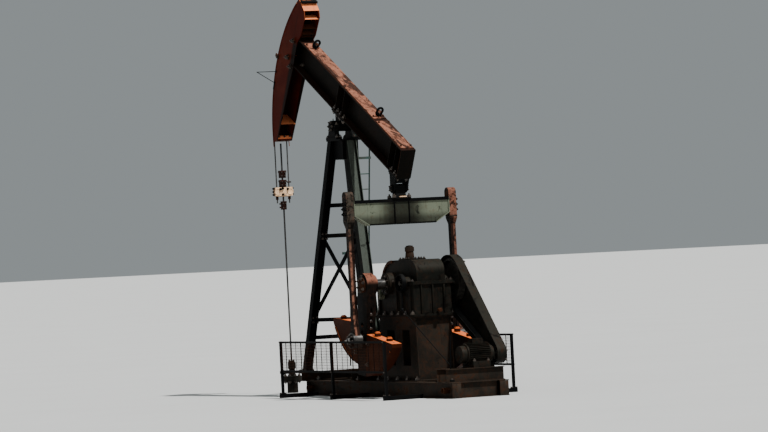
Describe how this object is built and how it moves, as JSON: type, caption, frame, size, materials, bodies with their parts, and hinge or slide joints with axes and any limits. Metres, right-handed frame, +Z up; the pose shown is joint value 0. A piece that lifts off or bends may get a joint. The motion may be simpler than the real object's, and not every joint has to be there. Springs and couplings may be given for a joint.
{
  "type": "pumpjack, conventional crank-balanced beam pumping unit",
  "caption": "Beam pumping unit with a red horsehead held high, rusted walking beam, tripod post, cranks with counterweights, gear case and guards.",
  "frame": {"origin": "on the ground below the centre bearing, on the underside of the base", "axes": "+X along the walking beam towards its tail, +Y to the belt side, +Z up"},
  "size_m": [8.6499, 2.82, 7.9279],
  "materials": {
    "red_paint": "faded, rusting",
    "rusted_red": "weathered",
    "black_steel": "oily",
    "grey_paint": "weathered",
    "tan_casting": "worn",
    "bright_steel": "oiled",
    "wire_rope": "greased",
    "belt_rubber": "matte"
  },
  "bodies": {
    "root": {"base_rail_left": "grey_paint", "base_rail_right": "grey_paint", "base_cross_beams": "grey_paint", "leg_bolsters": "grey_paint", "gear_pedestal": "grey_paint", "gear_case": "grey_paint", "gear_cover": "grey_paint", "drive_sheaves": "bright_steel", "drive_belts": "belt_rubber", "belt_guard": "grey_paint", "motor": "grey_paint", "motor_stand": "grey_paint", "brake_drum": "black_steel", "front_leg_left": "black_steel", "front_leg_right": "black_steel", "rear_leg": "grey_paint", "post_braces": "black_steel", "post_head": "black_steel", "center_bearing": "black_steel", "ladder": "grey_paint", "guard_left": "black_steel", "guard_right": "black_steel", "guard_outriggers": "black_steel", "stuffing_box": "grey_paint"},
    "beam": {"walking_beam": "rusted_red", "beam_caps": "rusted_red", "beam_saddle": "black_steel", "tail_bracket": "black_steel", "head_plate_left": "red_paint", "head_plate_right": "red_paint", "head_face": "red_paint", "head_ribs": "red_paint", "head_rod_bracket": "black_steel", "bridle_wrap": "wire_rope"},
    "pitmans": {"equalizer": "grey_paint", "tail_bearing": "black_steel", "pitman_left": "rusted_red", "pitman_right": "rusted_red", "wrist_bearings": "bright_steel"},
    "cranks": {"crank_shaft": "bright_steel", "crank_left": "black_steel", "crank_right": "black_steel", "weights_left": "red_paint", "weights_right": "red_paint"},
    "carrier": {"carrier_bar": "tan_casting", "rod_clamps": "grey_paint", "polished_rod": "bright_steel", "bridle_ropes": "wire_rope"}
  },
  "joints": [
    {"name": "crank_turn", "type": "hinge", "parent": "root", "child": "cranks", "pos_m": [2.59, 0, 2.175], "axis": [0, 1, 0], "range_deg": [-1.5, 173.5]},
    {"name": "beam_rock", "type": "hinge", "parent": "root", "child": "beam", "pos_m": [0, 0, 5.31], "axis": [0, 1, 0], "range_deg": [-46, 0.6]},
    {"name": "pitman_swing", "type": "hinge", "parent": "beam", "child": "pitmans", "pos_m": [2.4275, 0, 4.0029], "axis": [0, 1, 0], "range_deg": [-0.6, 47.2]},
    {"name": "carrier_lift", "type": "slide", "parent": "root", "child": "carrier", "axis": [0, 0, 1], "range_m": [-2.365, 0.022], "deforming": ["bridle_ropes", "polished_rod"]}
  ],
  "couplings": [
    {"joint": "beam_rock", "follows": "crank_turn", "ratio": -0.2633},
    {"joint": "pitman_swing", "follows": "crank_turn", "ratio": 0.2704},
    {"joint": "carrier_lift", "follows": "crank_turn", "m_per_rad": -0.7794}
  ]
}
